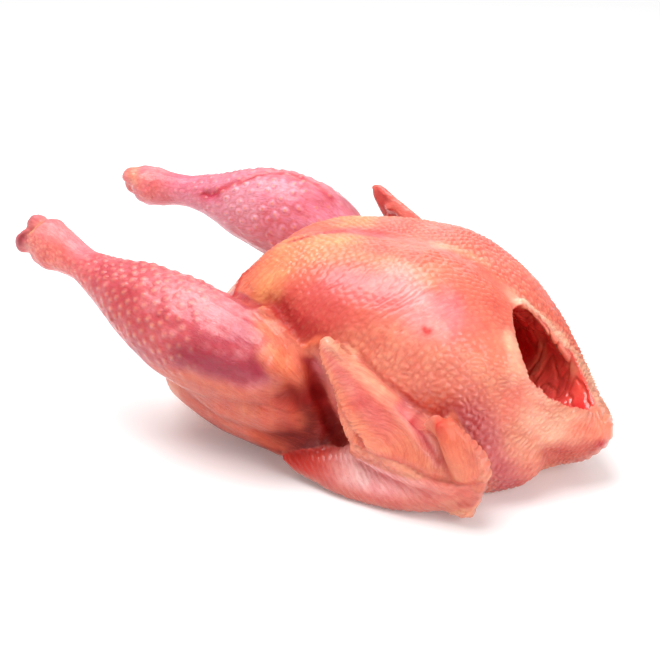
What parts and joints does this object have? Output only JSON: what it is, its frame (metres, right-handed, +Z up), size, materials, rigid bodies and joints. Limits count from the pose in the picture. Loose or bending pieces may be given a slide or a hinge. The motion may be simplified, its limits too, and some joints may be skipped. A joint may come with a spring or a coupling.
{
  "type": "raw turkey",
  "caption": "Whole raw turkey lying on its back, breast up, legs stretched back, wings folded at the sides, neck cavity open.",
  "frame": {"origin": "bottom centre of the whole bird, on the surface that it rests on", "axes": "+X towards the neck end, -X towards the leg ends, +Y the bird's right side, +Z up, breast uppermost"},
  "size_m": [0.4638, 0.2512, 0.1654],
  "materials": {
    "skin": "moist raw skin with a soft sheen"
  },
  "bodies": {
    "root": {"turkey": "skin"}
  },
  "joints": []
}
